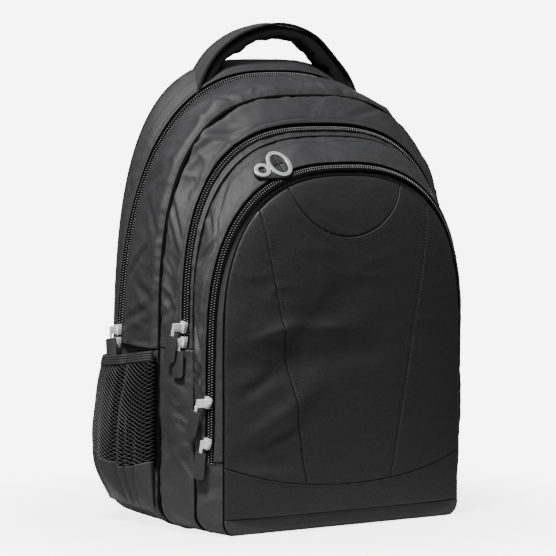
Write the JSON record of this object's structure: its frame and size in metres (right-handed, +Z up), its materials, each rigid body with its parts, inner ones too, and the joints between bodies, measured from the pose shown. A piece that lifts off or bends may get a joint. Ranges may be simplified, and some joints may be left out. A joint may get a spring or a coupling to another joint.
{
  "type": "laptop backpack",
  "caption": "Upright zipped laptop backpack with domed compartments, net side pockets, padded straps and an arched carry handle.",
  "frame": {"origin": "bottom centre of the bounding box, on the floor that the base rests on", "axes": "+Z up, -Y out of the front panel, +Y out of the back panel towards the wearer, +X to the right of someone who looks at the front panel"},
  "size_m": [0.3952, 0.2582, 0.5096],
  "materials": {
    "shell_cloth": "matte woven nylon",
    "front_cloth": "smooth satin-faced nylon",
    "net": "elastic net",
    "zip_tape": "woven tape with a spiral coil",
    "webbing": "ribbed webbing",
    "air_mesh": "padded air mesh",
    "rubber": "moulded, matte",
    "plastic": "moulded, matte",
    "silver_trim": "satin silver",
    "nickel": "nickel plated"
  },
  "bodies": {
    "root": {"base_panel": "shell_cloth", "rear_gusset": "shell_cloth", "laptop_gusset": "shell_cloth", "laptop_side_left": "shell_cloth", "laptop_side_right": "shell_cloth", "main_gusset": "shell_cloth", "main_edge_strip": "shell_cloth", "main_side_left": "shell_cloth", "main_side_right": "shell_cloth", "organiser_gusset": "shell_cloth", "front_edge_strip": "shell_cloth", "organiser_side_left": "shell_cloth", "organiser_side_right": "shell_cloth", "laptop_partition": "shell_cloth", "main_partition": "shell_cloth", "pocket_base_left": "shell_cloth", "pocket_base_right": "shell_cloth", "handle_grip": "shell_cloth", "strap_anchor_left": "shell_cloth", "strap_anchor_right": "shell_cloth", "front_boot": "front_cloth", "front_centre": "front_cloth", "front_side_left": "front_cloth", "front_side_right": "front_cloth", "front_yoke": "front_cloth", "pocket_net_left": "net", "pocket_net_right": "net", "laptop_zip": "zip_tape", "main_zip": "zip_tape", "front_zip": "zip_tape", "pocket_hem_left": "webbing", "pocket_hem_right": "webbing", "handle_webbing": "webbing", "strap_loop_left": "webbing", "strap_loop_right": "webbing", "strap_webbing_left": "webbing", "strap_webbing_right": "webbing", "back_panel": "air_mesh", "strap_pad_left": "air_mesh", "strap_pad_right": "air_mesh", "cable_port": "rubber", "laptop_pull_upper": "rubber", "laptop_pull_lower": "rubber", "main_pull_upper": "rubber", "main_pull_lower": "rubber", "front_pull_upper": "rubber", "front_pull_lower": "rubber", "strap_adjuster_left": "plastic", "strap_adjuster_right": "plastic", "cable_port_trim": "silver_trim", "laptop_slider_upper": "nickel", "laptop_slider_lower": "nickel", "main_slider_upper": "nickel", "main_slider_lower": "nickel", "front_slider_upper": "nickel", "front_slider_lower": "nickel"}
  },
  "joints": []
}
